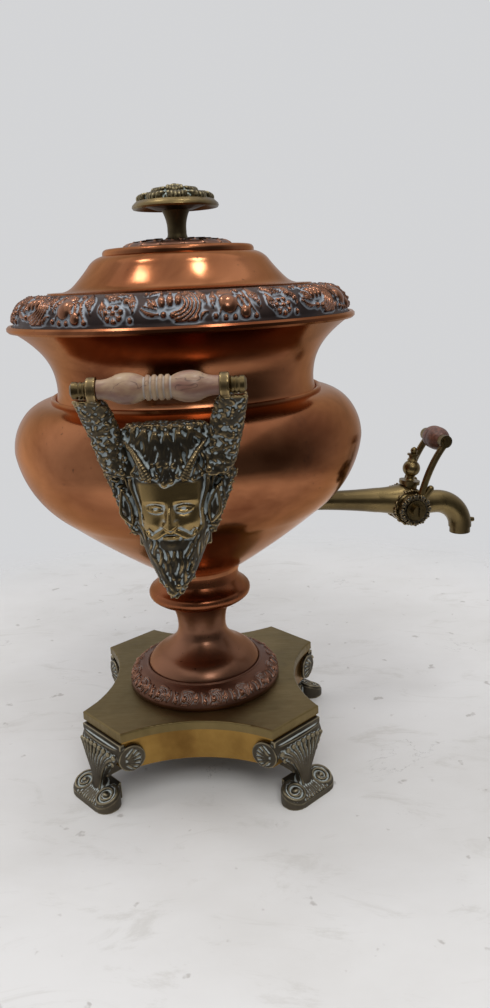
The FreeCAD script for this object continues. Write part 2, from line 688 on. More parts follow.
def tie_nut():
    """The nut under the washer."""
    base = point(0, 0, TIE_SEAT - TIE_WASHER_THICKNESS - TIE_NUT_HEIGHT)
    blank = hexagon(TIE_NUT_WIDTH, TIE_NUT_HEIGHT, base)
    return blank.cut(cylinder(TIE_RADIUS + RUN_GAP, TIE_NUT_HEIGHT, base))


def belly_run():
    """The bowl's outline from its foot band out to the belly and in over the shoulder."""
    run = []
    for index in range(4):
        share = index / 4
        radius = BOWL_FOOT_RADIUS + (BOWL_RADIUS - BOWL_FOOT_RADIUS) * sin(pi / 2 * share) ** 1.03
        run.append((radius, BELLY_BASE + BELLY_RISE * share))
    reach = BOWL_RADIUS - SHOULDER_TOP_RADIUS
    return run + quarter_round(SHOULDER_TOP_RADIUS, BELLY_HEIGHT, reach, SHOULDER_RISE)


def bowl_block(growth):
    """The bowl as a full solid, grown outwards by a distance, or shrunk where it is negative."""
    run = belly_run()
    if growth:
        run = offset_run(run, -growth)
    bottom = run[0][1]
    top = run[-1][1]
    return lathe([(0, bottom), run[0]], run, [run[-1], (0, top)], [(0, top), (0, bottom)])


def bowl():
    """The copper bowl, open at the top, pierced for the bolt, the tap and the handle screws."""
    foot_inner = BOWL_FOOT_RADIUS - SHEET
    inner = offset_run(belly_run(), SHEET)
    inner[0] = (foot_inner, BELLY_BASE + SHEET / 2)
    inner[-1] = (SHOULDER_TOP_RADIUS, BOWL_TOP - SHEET)
    land = SHOULDER_TOP_RADIUS - NECK_LAND
    bolt_hole = TIE_RADIUS + LIFT_GAP
    outer = belly_run()
    inner.reverse()
    shell = lathe([(bolt_hole, COLLAR_TOP), (BOWL_FOOT_RADIUS, COLLAR_TOP)],
                  [(BOWL_FOOT_RADIUS, COLLAR_TOP), outer[0]], outer,
                  [outer[-1], (land, BOWL_TOP)],
                  [(land, BOWL_TOP), (land, BOWL_TOP - SHEET)],
                  [(land, BOWL_TOP - SHEET), inner[0]], inner,
                  [inner[-1], (foot_inner, BOWL_FLOOR)],
                  [(foot_inner, BOWL_FLOOR), (bolt_hole, BOWL_FLOOR)])
    shell = shell.cut(on_tap_side(pipe_bar(PIPE_ROOT_RADIUS + RUN_GAP, PLUG_REACH / 2)))
    for side in (-1, 1):
        for hand in (-1, 1):
            start, axis = bracket_screw_line(side, hand)
            centre = point(0, 0, start.z)
            shell = shell.cut(cylinder(BRACKET_SCREW_RADIUS + RUN_GAP, BOWL_RADIUS, centre, axis))
    return shell


def neck_run():
    """The neck's outline from its seat on the bowl to the flared rim."""
    foot = THROAT_RADIUS + SEAM_FLARE
    run = [(foot, BOWL_TOP), (THROAT_RADIUS + 0.3 * SEAM_FLARE, BOWL_TOP + 0.45 * THROAT_RISE)]
    for index in range(7):
        share = index / 6
        radius = THROAT_RADIUS + (FLARE_RADIUS - THROAT_RADIUS) * share ** FLARE_POWER
        run.append((radius, THROAT_HEIGHT + FLARE_RISE * share))
    return run


def neck():
    """The flared neck with a seam bead at its foot, a rolled rim and a plate that carries the band."""
    outer = neck_run()
    inner = offset_run(outer, SHEET)
    inner[0] = (outer[0][0] - SHEET, BOWL_TOP)
    inner[-1] = (outer[-1][0] - 1.3 * SHEET, FLARE_TOP)
    inner.reverse()
    shell = lathe(outer, [outer[-1], inner[0]], inner)
    seat = cylinder(SHOULDER_TOP_RADIUS, SHEET, point(0, 0, BOWL_TOP))
    seat = seat.cut(cylinder(SHOULDER_TOP_RADIUS - NECK_LAND, SHEET, point(0, 0, BOWL_TOP)))
    bead = bead_ring(SHOULDER_TOP_RADIUS - SEAM_BEAD, BOWL_TOP + SEAM_BEAD, SEAM_BEAD)
    plate_inner = FLARE_RADIUS - RIM_PLATE_WIDTH
    plate = cylinder(FLARE_RADIUS, RIM_PLATE_THICKNESS, point(0, 0, FLARE_TOP))
    plate = plate.cut(cylinder(plate_inner, RIM_PLATE_THICKNESS, point(0, 0, FLARE_TOP)))
    roll = bead_ring(FLARE_RADIUS, RIM_PLATE_TOP - 0.4 * ROLL_RADIUS, ROLL_RADIUS)
    band_seat = cylinder(FLARE_RADIUS - ROLL_RADIUS / 2, 2 * ROLL_RADIUS, point(0, 0, RIM_PLATE_TOP))
    roll = roll.cut(band_seat)
    return shell.fuse(seat).fuse(bead).fuse(plate).fuse(roll)


def rim_band():
    """The stamped band that rounds over from the rim to the flat seat of the lid."""
    reach = BAND_RADIUS - BAND_SHOULDER_RADIUS
    outer = quarter_round(BAND_SHOULDER_RADIUS, RIM_PLATE_TOP, reach, BAND_RISE, BAND_FULLNESS)
    inner_reach = reach - BAND_WALL
    inner_rise = BAND_RISE - BAND_WALL
    inner = quarter_round(BAND_SHOULDER_RADIUS, RIM_PLATE_TOP, inner_reach, inner_rise, BAND_FULLNESS)
    inner.reverse()
    return lathe(outer, [outer[-1], (MOUTH_RADIUS, BAND_TOP)],
                 [(MOUTH_RADIUS, BAND_TOP), (MOUTH_RADIUS, BAND_TOP - BAND_WALL)],
                 [(MOUTH_RADIUS, BAND_TOP - BAND_WALL), inner[0]], inner)


def lid_flank_run():
    """The bell-shaped flank from the lid's ledge up to its step."""
    run = []
    for index in range(7):
        share = index / 6
        radius = LID_FLANK_FOOT - (LID_FLANK_FOOT - LID_STEP_RADIUS) * share
        run.append((radius, LID_FLANK_BASE + LID_FLANK_RISE * swelling(share, 1.15)))
    return run


def lid_dome():
    """The spun lid: flat ledge, bell flank, stepped disc and a hole for the knob's stud."""
    outer = lid_flank_run()
    ceiling = LID_TOP - LID_WALL
    inner = offset_run(outer, LID_WALL)
    inner[0] = (LID_FLANK_FOOT, BAND_TOP)
    inner[-1] = (LID_STEP_RADIUS - LID_WALL, LID_STEP_BASE)
    inner.reverse()
    step_radius = LID_STEP_RADIUS - LID_STEP_ROUND
    step = quarter_round(step_radius, LID_TOP - LID_STEP_ROUND, LID_STEP_ROUND, LID_STEP_ROUND)
    hole = STUD_RADIUS + RUN_GAP
    return lathe([(LID_FLANK_FOOT, BAND_TOP), (LID_LEDGE_RADIUS, BAND_TOP)],
                 [(LID_LEDGE_RADIUS, BAND_TOP), (LID_LEDGE_RADIUS, LID_FLANK_BASE)],
                 [(LID_LEDGE_RADIUS, LID_FLANK_BASE), outer[0]], outer,
                 [outer[-1], step[0]], step,
                 [step[-1], (hole, LID_TOP)],
                 [(hole, LID_TOP), (hole, ceiling)],
                 [(hole, ceiling), (inner[0][0], ceiling)],
                 [(inner[0][0], ceiling), inner[0]], inner)


def lid_ring():
    """The locating ring under the lid that drops into the mouth."""
    outer = MOUTH_RADIUS - LIFT_GAP
    base = point(0, 0, BAND_TOP - LID_RING_DEPTH)
    return cylinder(outer, LID_RING_DEPTH, base).cut(cylinder(outer - LID_WALL, LID_RING_DEPTH, base))


def lid_rosette():
    """The stamped ornament that the knob clamps on the lid."""
    reach = ROSETTE_RADIUS - ROSETTE_HUB
    inner_rise = ROSETTE_RISE - ROSETTE_WALL
    outer = quarter_round(ROSETTE_HUB, LID_TOP, reach, ROSETTE_RISE, ROSETTE_FULLNESS)
    inner = quarter_round(ROSETTE_HUB, LID_TOP, reach - ROSETTE_WALL, inner_rise, ROSETTE_FULLNESS)
    inner.reverse()
    hole = STUD_RADIUS + RUN_GAP
    return lathe(outer, [outer[-1], (hole, ROSETTE_TOP)],
                 [(hole, ROSETTE_TOP), (hole, LID_TOP)],
                 [(hole, LID_TOP), (ROSETTE_HUB - 1, LID_TOP)],
                 [(ROSETTE_HUB - 1, LID_TOP), (ROSETTE_HUB - 1, ROSETTE_TOP - ROSETTE_WALL)],
                 [(ROSETTE_HUB - 1, ROSETTE_TOP - ROSETTE_WALL), inner[0]], inner)


def knob_stem():
    """The turned stem with its stud down through the lid."""
    run = [(STEM_FOOT_RADIUS, ROSETTE_TOP)]
    for swell, share in STEM_OUTLINE:
        run.append((STEM_FOOT_RADIUS + swell, ROSETTE_TOP + STEM_HEIGHT * share))
    run.append((STEM_TOP_RADIUS, STEM_TOP))
    stud_bottom = LID_TOP - LID_WALL - KNOB_WASHER_THICKNESS - KNOB_NUT_HEIGHT - STUD_TAIL
    return lathe([(0, stud_bottom), (STUD_RADIUS, stud_bottom)],
                 [(STUD_RADIUS, stud_bottom), (STUD_RADIUS, ROSETTE_TOP)],
                 [(STUD_RADIUS, ROSETTE_TOP), run[0]], run, [run[-1], (0, STEM_TOP)])


def knob_dish():
    """The dished disc on the stem, with its rim turned down."""
    lip = DISH_RADIUS - DISH_LIP
    low = STEM_TOP - DISH_DROP
    return lathe(*polyline((0, STEM_TOP), (lip - DISH_DROP, STEM_TOP), (lip, low + 0.4 * DISH_LIP),
                           (lip + DISH_LIP / 2, low), (DISH_RADIUS, low + 0.75 * DISH_LIP),
                           (DISH_RADIUS - 0.25 * DISH_LIP, STEM_TOP - DISH_WALL / 2),
                           (DISH_RADIUS - 2 * DISH_LIP, DISH_TOP), (0, DISH_TOP), (0, STEM_TOP)))


def knob_flower():
    """The cast flower head: a low dome ringed by lobes, with a round heart."""
    dome = quarter_round(0, DISH_TOP, FLOWER_RADIUS, FLOWER_RISE, FLOWER_FULLNESS)
    head = lathe([(0, DISH_TOP), dome[0]], dome)
    for index in range(FLOWER_PETALS):
        angle = 2 * pi * index / FLOWER_PETALS
        reach = FLOWER_RADIUS - PETAL_RADIUS
        lift = DISH_TOP + PETAL_RADIUS / 10
        petal = Part.makeSphere(PETAL_RADIUS, point(reach * cos(angle), reach * sin(angle), lift))
        head = head.fuse(petal)
    floor_block = Part.makeBox(4 * FLOWER_RADIUS, 4 * FLOWER_RADIUS, FLOWER_RISE,
                               point(-2 * FLOWER_RADIUS, -2 * FLOWER_RADIUS, DISH_TOP - FLOWER_RISE))
    return head.cut(floor_block)


def knob_washer():
    """The washer under the lid's top."""
    base = point(0, 0, LID_TOP - LID_WALL - KNOB_WASHER_THICKNESS)
    disc = cylinder(KNOB_WASHER_RADIUS, KNOB_WASHER_THICKNESS, base)
    return disc.cut(cylinder(STUD_RADIUS + RUN_GAP, KNOB_WASHER_THICKNESS, base))


def knob_nut():
    """The nut under the washer."""
    base = point(0, 0, LID_TOP - LID_WALL - KNOB_WASHER_THICKNESS - KNOB_NUT_HEIGHT)
    blank = hexagon(KNOB_NUT_WIDTH, KNOB_NUT_HEIGHT, base)
    return blank.cut(cylinder(STUD_RADIUS + RUN_GAP, KNOB_NUT_HEIGHT, base))


def bracket_screw_line(side, hand):
    """Where a handle screw leaves the bowl's outer face, and its direction outwards."""
    angle = atan2(side * BOWL_RADIUS, hand * BRACKET_SCREW_SPREAD)
    axis = point(cos(angle), sin(angle), 0)
    return axis * BOWL_RADIUS + point(0, 0, BRACKET_SCREW_HEIGHT), axis


def mask_block():
    """The mask's head and beard as one tapering body, facing -Y."""
    rings = []
    for share, width, depth in MASK_OUTLINE:
        height = MASK_TOP + (BEARD_TIP - MASK_TOP) * share
        rings.append(ellipse_ring(0, depth - MASK_REACH + 1, height, MASK_HALF_WIDTH * width, depth))
    return Part.makeLoft(rings, True)


def nose():
    """A plain straight nose: rings from its rounded tip up to the brow."""
    base = CHIN + FACE_HEIGHT / 3
    rings = []
    for rise, setback, half_width, half_depth in NOSE_OUTLINE:
        rings.append(ellipse_ring(0, setback - MASK_REACH, base + rise, half_width, half_depth))
    return Part.makeLoft(rings, True)


def horn(hand):
    """A short ringed horn that grows from the hairline up and outwards."""
    path = []
    for index in range(HORN_RINGS + 1):
        share = index / HORN_RINGS
        spread = HORN_SPREAD + HORN_SPLAY * share ** 0.8
        height = HAIRLINE + HORN_TIP_RADIUS + HORN_LENGTH * share
        path.append(point(hand * spread, HORN_RADIUS * (0.6 + share) - MASK_REACH, height))
    body = None
    taper = (HORN_RADIUS - HORN_TIP_RADIUS) / HORN_RINGS
    for index in range(HORN_RINGS):
        axis = path[index + 1] - path[index]
        wide = HORN_RADIUS - taper * index
        ring = Part.makeCone(wide, wide - 1.4 * taper, axis.Length + taper, path[index], axis)
        body = ring if body is None else body.fuse(ring)
    return body


def ear(hand):
    """A pointed leaf-shaped ear at the side of the head."""
    middle = CHIN + 0.55 * FACE_HEIGHT
    rings = []
    for rise, spread, half_width, half_depth in EAR_OUTLINE:
        side = hand * (MASK_HALF_WIDTH + spread)
        rings.append(ellipse_ring(side, EAR_SETBACK - MASK_REACH, middle + rise, half_width, half_depth))
    return Part.makeLoft(rings, True)


def bracket_arm(hand):
    """A vine-covered arm from the side of the mask out to the eye that holds the grip."""
    foot_height = HAIRLINE + HORN_TIP_RADIUS
    eye_height = GRIP_HEIGHT - 0.8 * EYE_RADIUS
    eye_spread = GRIP_HALF_LENGTH + LIFT_GAP + EYE_WIDTH / 2 + ARM_EYE_OVERHANG
    foot_reach = BOWL_RADIUS + ARM_FOOT_STANDOFF
    eye_reach = GRIP_REACH - 0.3 * EYE_RADIUS
    rings = []
    for index in range(5):
        share = index / 4
        spread = ARM_FOOT_SPREAD + (eye_spread - ARM_FOOT_SPREAD) * share ** 0.7
        reach = foot_reach + (eye_reach - foot_reach) * share ** 2.6
        height = foot_height + (eye_height - foot_height) * share
        half_width = ARM_WIDTH * (0.6 - 0.13 * share)
        rings.append(ellipse_ring(hand * spread, -reach, height, half_width, ARM_DEPTH / 2))
    return Part.makeLoft(rings, True)


def bracket():
    """The left handle's casting: mask, horns, ears and two arms ending in eyes, seated on the bowl."""
    casting = mask_block().fuse(nose())
    for hand in (-1, 1):
        casting = casting.fuse(bracket_arm(hand))
        casting = casting.fuse(horn(hand))
        casting = casting.fuse(ear(hand))
        start = hand * (GRIP_HALF_LENGTH + LIFT_GAP)
        eye = cylinder(EYE_RADIUS, EYE_WIDTH, point(start, -GRIP_REACH, GRIP_HEIGHT), point(hand, 0, 0))
        casting = casting.fuse(eye)
    behind = Part.makeBox(4 * BOWL_RADIUS, 2 * BOWL_RADIUS, 2 * GRIP_HEIGHT,
                          point(-2 * BOWL_RADIUS, -BRACKET_BACK, 0))
    casting = casting.cut(behind).cut(bowl_block(0))
    rod_room = 2 * (GRIP_HALF_LENGTH + EYE_WIDTH + ROD_CAP_LENGTH + ROD_RADIUS)
    rod_start = point(-rod_room / 2, -GRIP_REACH, GRIP_HEIGHT)
    casting = casting.cut(cylinder(ROD_RADIUS + RUN_GAP, rod_room, rod_start, point(1, 0, 0)))
    grip_room = cylinder(GRIP_BULB_RADIUS + 1, 2 * (GRIP_HALF_LENGTH + LIFT_GAP),
                         point(-GRIP_HALF_LENGTH - LIFT_GAP, -GRIP_REACH, GRIP_HEIGHT), point(1, 0, 0))
    casting = casting.cut(grip_room)
    for hand in (-1, 1):
        outside = GRIP_HALF_LENGTH + LIFT_GAP + EYE_WIDTH
        cap_room = cylinder(ROD_CAP_RADIUS + 1, ROD_CAP_LENGTH + 4,
                            point(hand * outside, -GRIP_REACH, GRIP_HEIGHT), point(hand, 0, 0))
        casting = casting.cut(cap_room)
        start, axis = bracket_screw_line(-1, hand)
        hole = cylinder(BRACKET_SCREW_RADIUS + RUN_GAP, BRACKET_SCREW_DEPTH + 2, start - axis * 2, axis)
        casting = casting.cut(hole)
    return casting


def handle_grip():
    """The turned bone grip: two bulbs with a beaded waist, bored for the rod."""
    half_beads = GRIP_BEADED_LENGTH / 2
    bulb = 0.5 * (GRIP_HALF_LENGTH + half_beads)
    groove = GRIP_BEAD_RADIUS - 1.3
    run = [
        (GRIP_NECK_RADIUS, -GRIP_HALF_LENGTH),
        (GRIP_NECK_RADIUS + 0.8, -GRIP_HALF_LENGTH + 7),
        (GRIP_BULB_RADIUS - 1.0, -bulb - 3),
        (GRIP_BULB_RADIUS, -bulb + 2.5),
        (groove, -half_beads),
    ]
    far_run = [(radius, -place) for radius, place in reversed(run)]
    beads = []
    pitch = GRIP_BEADED_LENGTH / GRIP_BEADS
    for index in range(GRIP_BEADS):
        start = -half_beads + pitch * index
        beads += polyline((groove, start), (GRIP_BEAD_RADIUS, start + 0.3 * pitch),
                          (GRIP_BEAD_RADIUS, start + 0.7 * pitch), (groove, start + pitch))
    bore = ROD_RADIUS + RUN_GAP
    far_end = [far_run[-1], (bore, GRIP_HALF_LENGTH)]
    grip = lathe([(bore, -GRIP_HALF_LENGTH), run[0]], run, *beads, far_run, far_end)
    grip.rotate(ORIGIN, point(0, 1, 0), 90)
    grip.translate(point(0, -GRIP_REACH, GRIP_HEIGHT))
    return grip


def handle_rod():
    """The rod through the grip and both eyes."""
    half = GRIP_HALF_LENGTH + LIFT_GAP + EYE_WIDTH + ROD_TAIL
    return cylinder(ROD_RADIUS, 2 * half, point(-half, -GRIP_REACH, GRIP_HEIGHT), point(1, 0, 0))


def rod_cap(hand):
    """A round beaded nut on the rod's end, domed and closed outside."""
    length = ROD_CAP_LENGTH
    blind = ROD_TAIL + LIFT_GAP
    bore = ROD_RADIUS + RUN_GAP
    groove = ROD_CAP_RADIUS - ROD_CAP_GROOVE
    beads = []
    for index in range(ROD_CAP_BEADS):
        start = ROD_CAP_BEAD * index
        beads += [(groove, start), (ROD_CAP_RADIUS, start + ROD_CAP_BEAD / 2)]
    cap = lathe(*polyline((bore, 0), *beads, (ROD_CAP_RADIUS, length - 2 * ROD_CAP_GROOVE),
                          (ROD_CAP_RADIUS - 3 * ROD_CAP_GROOVE, length), (0, length),
                          (0, blind), (bore, blind), (bore, 0)))
    cap.rotate(ORIGIN, point(0, 1, 0), 90 * hand)
    cap.translate(point(hand * (GRIP_HALF_LENGTH + LIFT_GAP + EYE_WIDTH), -GRIP_REACH, GRIP_HEIGHT))
    return cap


def bracket_screw(hand):
    """A screw from inside the bowl into the left bracket."""
    outside, axis = bracket_screw_line(-1, hand)
    base = outside - axis * (SHEET + BRACKET_WASHER_THICKNESS)
    length = SHEET + BRACKET_WASHER_THICKNESS + BRACKET_SCREW_DEPTH - LIFT_GAP
    head_length = 0.6 * BRACKET_SCREW_HEAD
    return slotted_screw(base, axis, BRACKET_SCREW_RADIUS, length, BRACKET_SCREW_HEAD, head_length)


def bracket_washer(hand):
    """A washer between the bowl's inside and the screw's head, dished to the wall."""
    outside, axis = bracket_screw_line(-1, hand)
    base = outside - axis * (SHEET + BRACKET_WASHER_THICKNESS)
    disc = cylinder(BRACKET_WASHER_RADIUS, BRACKET_WASHER_THICKNESS + 1, base, axis)
    disc = disc.common(bowl_block(-SHEET))
    return disc.cut(cylinder(BRACKET_SCREW_RADIUS + RUN_GAP, 3 * BRACKET_WASHER_THICKNESS, base - axis, axis))


def on_tap_side(shape):
    """The shape turned from its layout along +X to the tap's direction."""
    return turn(shape, TAP_TURN)


def pipe_axis():
    """A point on the pipe's axis over the plug, and the axis's direction back to the bowl."""
    slope = radians(PIPE_SLOPE)
    return point(PLUG_REACH, 0, PLUG_HEIGHT + PIPE_RISE), point(-cos(slope), 0, sin(slope))


def pipe_bar(radius, start):
    """A bar on the pipe's axis that reaches from beside the plug into the bowl."""
    over_plug, back = pipe_axis()
    return cylinder(radius, PLUG_REACH - start, over_plug + back * (start / 3), back)


def tap_pipe():
    """The pipe's flared outside, on its sloping axis, with its root plain."""
    over_plug, back = pipe_axis()
    flare = [(PIPE_ROOT_RADIUS + swell, reach) for reach, swell in PIPE_FLARE]
    wide = flare[0][0]
    pipe = lathe([(0, 0), (wide, 0)], [(wide, 0), flare[0]], flare,
                 [flare[-1], (PIPE_ROOT_RADIUS, PIPE_LENGTH)],
                 [(PIPE_ROOT_RADIUS, PIPE_LENGTH), (0, PIPE_LENGTH)])
    pipe.Placement = FreeCAD.Placement(over_plug, FreeCAD.Rotation(UP, back))
    return pipe


def spout(radius):
    """The straight start and the quarter bend of the spout, or of its bore, down to the nozzle's top."""
    start = point(PLUG_REACH, 0, PLUG_HEIGHT)
    straight = cylinder(radius, SPOUT_START, start, point(1, 0, 0))
    centre = point(PLUG_REACH + SPOUT_START, 0, PLUG_HEIGHT - SPOUT_BEND)
    ring = Part.Circle(start + point(SPOUT_START, 0, 0), point(1, 0, 0), radius)
    bend = spun(Part.Face(Part.Wire(ring.toShape())), centre, point(0, 1, 0), 90)
    return straight.fuse(bend)


def tap_body():
    """The cast tap: pipe, stepped boss with a taper bore, flange for the finial, spout, lip and nozzle."""
    body = tap_pipe()
    across = point(0, 1, 0)
    for step in range(BOSS_STEPS):
        half = BOSS_HALF_LENGTH - step * BOSS_STEP
        radius = BOSS_RADIUS - (BOSS_STEPS - 1 - step) * BOSS_STEP
        body = body.fuse(cylinder(radius, 2 * half, point(PLUG_REACH, -half, PLUG_HEIGHT), across))
    centre = point(PLUG_REACH, 0, PLUG_HEIGHT)
    lean = point(sin(radians(FINIAL_LEAN)), 0, cos(radians(FINIAL_LEAN)))
    body = body.fuse(cylinder(FLANGE_RADIUS - BOSS_STEP, FLANGE_RISE, centre, lean))
    flange_base = centre + lean * (FLANGE_RISE - FLANGE_THICKNESS)
    body = body.fuse(cylinder(FLANGE_RADIUS, FLANGE_THICKNESS, flange_base, lean))
    body = body.fuse(spout(SPOUT_RADIUS))
    nozzle_x = PLUG_REACH + SPOUT_START + SPOUT_BEND
    mouth = PLUG_HEIGHT - SPOUT_BEND - NOZZLE_DROP
    tip = point(nozzle_x + LIP_REACH, 0, mouth + LIP_HEIGHT)
    root = point(nozzle_x + LIP_RADIUS, 0, mouth + LIP_HEIGHT + LIP_RADIUS / 2)
    body = body.fuse(Part.makeCone(0.4 * NOZZLE_RADIUS, LIP_RADIUS, (tip - root).Length, root, tip - root))
    body = body.fuse(cylinder(NOZZLE_RADIUS, NOZZLE_LENGTH, point(nozzle_x, 0, mouth)))
    body = body.cut(water_way())
    body = body.cut(plug_taper(RUN_GAP, BOSS_HALF_LENGTH + 1))
    stud_base = centre + lean * (FLANGE_RISE - FINIAL_STUD_LENGTH)
    body = body.cut(cylinder(FINIAL_STUD_RADIUS + RUN_GAP, FINIAL_STUD_LENGTH + 1, stud_base, lean))
    body = on_tap_side(body)
    return body.cut(bowl_block(-SHEET - PIPE_PROTRUSION))


def water_way():
    """The bore from the bowl to the plug, round the spout and out of the nozzle."""
    over_plug, back = pipe_axis()
    far_end = over_plug + back * PIPE_LENGTH
    start = point(PLUG_REACH, 0, PLUG_HEIGHT)
    inlet = cylinder(PIPE_BORE_RADIUS, (far_end - start).Length + 2, start, far_end - start)
    nozzle_x = PLUG_REACH + SPOUT_START + SPOUT_BEND
    bend_end = PLUG_HEIGHT - SPOUT_BEND
    outlet = cylinder(SPOUT_BORE_RADIUS, NOZZLE_DROP + 1, point(nozzle_x, 0, bend_end), point(0, 0, -1))
    return spout(SPOUT_BORE_RADIUS).fuse(outlet).fuse(inlet)


def plug_taper(gap, half):
    """The plug's taper along the tap's cross axis, or its bore where the gap is more than nothing."""
    near = PLUG_RADIUS + PLUG_TAPER + gap
    far = PLUG_RADIUS - PLUG_TAPER + gap
    return Part.makeCone(near, far, 2 * half, point(PLUG_REACH, -half, PLUG_HEIGHT), point(0, 1, 0))


def tap_saddle():
    """The ring soldered round the pipe's root, seated on the bowl."""
    ring = on_tap_side(pipe_bar(SADDLE_RADIUS, PLUG_REACH / 2))
    ring = ring.common(bowl_block(SADDLE_THICKNESS)).cut(bowl_block(0))
    return ring.cut(on_tap_side(pipe_bar(PIPE_ROOT_RADIUS + RUN_GAP, PLUG_REACH / 2)))


def tap_plug():
    """The taper plug, its port shut while the lever stands up, with journals for the yoke."""
    across = point(0, 1, 0)
    half = BOSS_HALF_LENGTH + LIFT_GAP
    plug = plug_taper(0, half)
    journal_half = half + YOKE_WIDTH
    journal_end = point(PLUG_REACH, -journal_half, PLUG_HEIGHT)
    plug = plug.fuse(cylinder(JOURNAL_RADIUS, 2 * journal_half, journal_end, across))
    port = cylinder(PLUG_PORT_RADIUS, 4 * PLUG_RADIUS, point(-2 * PLUG_RADIUS, 0, 0), point(1, 0, 0))
    port.rotate(ORIGIN, across, -OPEN_ANGLE)
    port.translate(point(PLUG_REACH, 0, PLUG_HEIGHT))
    plug = plug.cut(port)
    for side in (-1, 1):
        end = point(PLUG_REACH, side * journal_half, PLUG_HEIGHT)
        plug = plug.cut(cylinder(PLUG_SCREW_RADIUS + RUN_GAP, PLUG_SCREW_DEPTH, end, point(0, -side, 0)))
    return on_tap_side(plug)


def lever_place(share, forward=0.0):
    """A point on the lever arm's line: 0 at the plug's axis, 1 at the grip's."""
    angle = radians(ARM_ANGLE)
    reach = share * ARM_LENGTH
    x = PLUG_REACH + reach * sin(angle) + forward * cos(angle)
    z = PLUG_HEIGHT + reach * cos(angle) - forward * sin(angle)
    return point(x, 0, z)


def tap_arm(side):
    """One arm of the lever: an eye keyed on the plug, a bowed rod, a scroll stub and an eye for the pin."""
    across = point(0, 1, 0)
    start = side * (BOSS_HALF_LENGTH + LIFT_GAP + YOKE_WIDTH / 2) - YOKE_WIDTH / 2
    shift = point(0, start + YOKE_WIDTH / 2, 0)
    eye_centre = point(PLUG_REACH, start, PLUG_HEIGHT)
    tip_centre = lever_place(1) + point(0, start, 0)
    path = [lever_place(share, forward) for share, forward in ARM_BOW]
    curve = Part.BSplineCurve()
    curve.interpolate([place + shift for place in path])
    spine = Part.Wire(curve.toShape())
    first_edge = spine.Edges[0]
    tangent = first_edge.tangentAt(first_edge.FirstParameter)
    ring = Part.Wire(Part.Circle(path[0] + shift, tangent, YOKE_ARM_RADIUS).toShape())
    arm = spine.makePipeShell([ring], True, False)
    stub_root, stub_tip = [lever_place(share, forward) + shift for share, forward in ARM_STUB]
    arm = arm.fuse(cylinder(YOKE_ARM_RADIUS, (stub_tip - stub_root).Length, stub_root, stub_tip - stub_root))
    arm = arm.fuse(Part.makeSphere(YOKE_ARM_RADIUS, stub_tip))
    arm = arm.fuse(cylinder(YOKE_EYE_RADIUS, YOKE_WIDTH, eye_centre, across))
    arm = arm.fuse(cylinder(YOKE_TIP_RADIUS, YOKE_WIDTH, tip_centre, across))
    arm = arm.cut(cylinder(JOURNAL_RADIUS + RUN_GAP, YOKE_WIDTH, eye_centre, across))
    arm = arm.cut(cylinder(GRIP_PIN_RADIUS + RUN_GAP, YOKE_WIDTH, tip_centre, across))
    return on_tap_side(arm)


def tap_grip():
    """The turned wooden barrel between the arms, bored for its pin."""
    half = BOSS_HALF_LENGTH
    bore = GRIP_PIN_RADIUS + RUN_GAP
    shoulder = TAP_GRIP_RADIUS - TAP_GRIP_CROWN
    run = [
        (TAP_GRIP_END_RADIUS, -half),
        (shoulder, TAP_GRIP_ROUND - half),
        (TAP_GRIP_RADIUS, 0),
        (shoulder, half - TAP_GRIP_ROUND),
        (TAP_GRIP_END_RADIUS, half),
    ]
    barrel = lathe([(bore, -half), run[0]], run, [run[-1], (bore, half)])
    barrel.rotate(ORIGIN, point(1, 0, 0), -90)
    barrel.translate(lever_place(1))
    return on_tap_side(barrel)


def tap_pin():
    """The pin that joins both arms through the grip, with a round head at each end."""
    across = point(0, 1, 0)
    half = BOSS_HALF_LENGTH + LIFT_GAP + YOKE_WIDTH
    pin = cylinder(GRIP_PIN_RADIUS, 2 * half, lever_place(1) - across * half, across)
    for side in (-1, 1):
        end = lever_place(1) + across * (side * half)
        pin = pin.fuse(cylinder(PIN_HEAD_RADIUS, PIN_HEAD_RADIUS / 2, end, across * side))
    return on_tap_side(pin)


def plug_washer(side):
    """The washer that keeps an arm on the plug."""
    across = point(0, side, 0)
    base = point(PLUG_REACH, 0, PLUG_HEIGHT) + across * (BOSS_HALF_LENGTH + LIFT_GAP + YOKE_WIDTH)
    disc = cylinder(PLUG_WASHER_RADIUS, PLUG_WASHER_THICKNESS, base, across)
    return on_tap_side(disc.cut(cylinder(PLUG_SCREW_RADIUS + RUN_GAP, PLUG_WASHER_THICKNESS, base, across)))


def plug_screw(side):
    """The slotted screw in the plug's end."""
    across = point(0, side, 0)
    reach = BOSS_HALF_LENGTH + LIFT_GAP + YOKE_WIDTH + PLUG_WASHER_THICKNESS
    base = point(PLUG_REACH, 0, PLUG_HEIGHT) + across * reach
    length = PLUG_WASHER_THICKNESS + PLUG_SCREW_DEPTH - LIFT_GAP
    return on_tap_side(slotted_screw(base, across * -1, PLUG_SCREW_RADIUS, length, PLUG_SCREW_HEAD_RADIUS,
                                     PLUG_SCREW_HEAD_LENGTH))


def tap_finial():
    """The turned finial on the boss: stud, ball, collar disc and tip."""
    stud_end = LIFT_GAP - FINIAL_STUD_LENGTH
    stud = polyline((0, stud_end), (FINIAL_STUD_RADIUS, stud_end), (FINIAL_STUD_RADIUS, 0), FINIAL_BALL[0])
    finial = lathe(*stud, FINIAL_BALL, *polyline(*FINIAL_DISC), FINIAL_TIP)
    finial.rotate(ORIGIN, point(0, 1, 0), FINIAL_LEAN)
    lean = point(sin(radians(FINIAL_LEAN)), 0, cos(radians(FINIAL_LEAN)))
    finial.translate(point(PLUG_REACH, 0, PLUG_HEIGHT) + lean * FLANGE_RISE)
    return on_tap_side(finial)


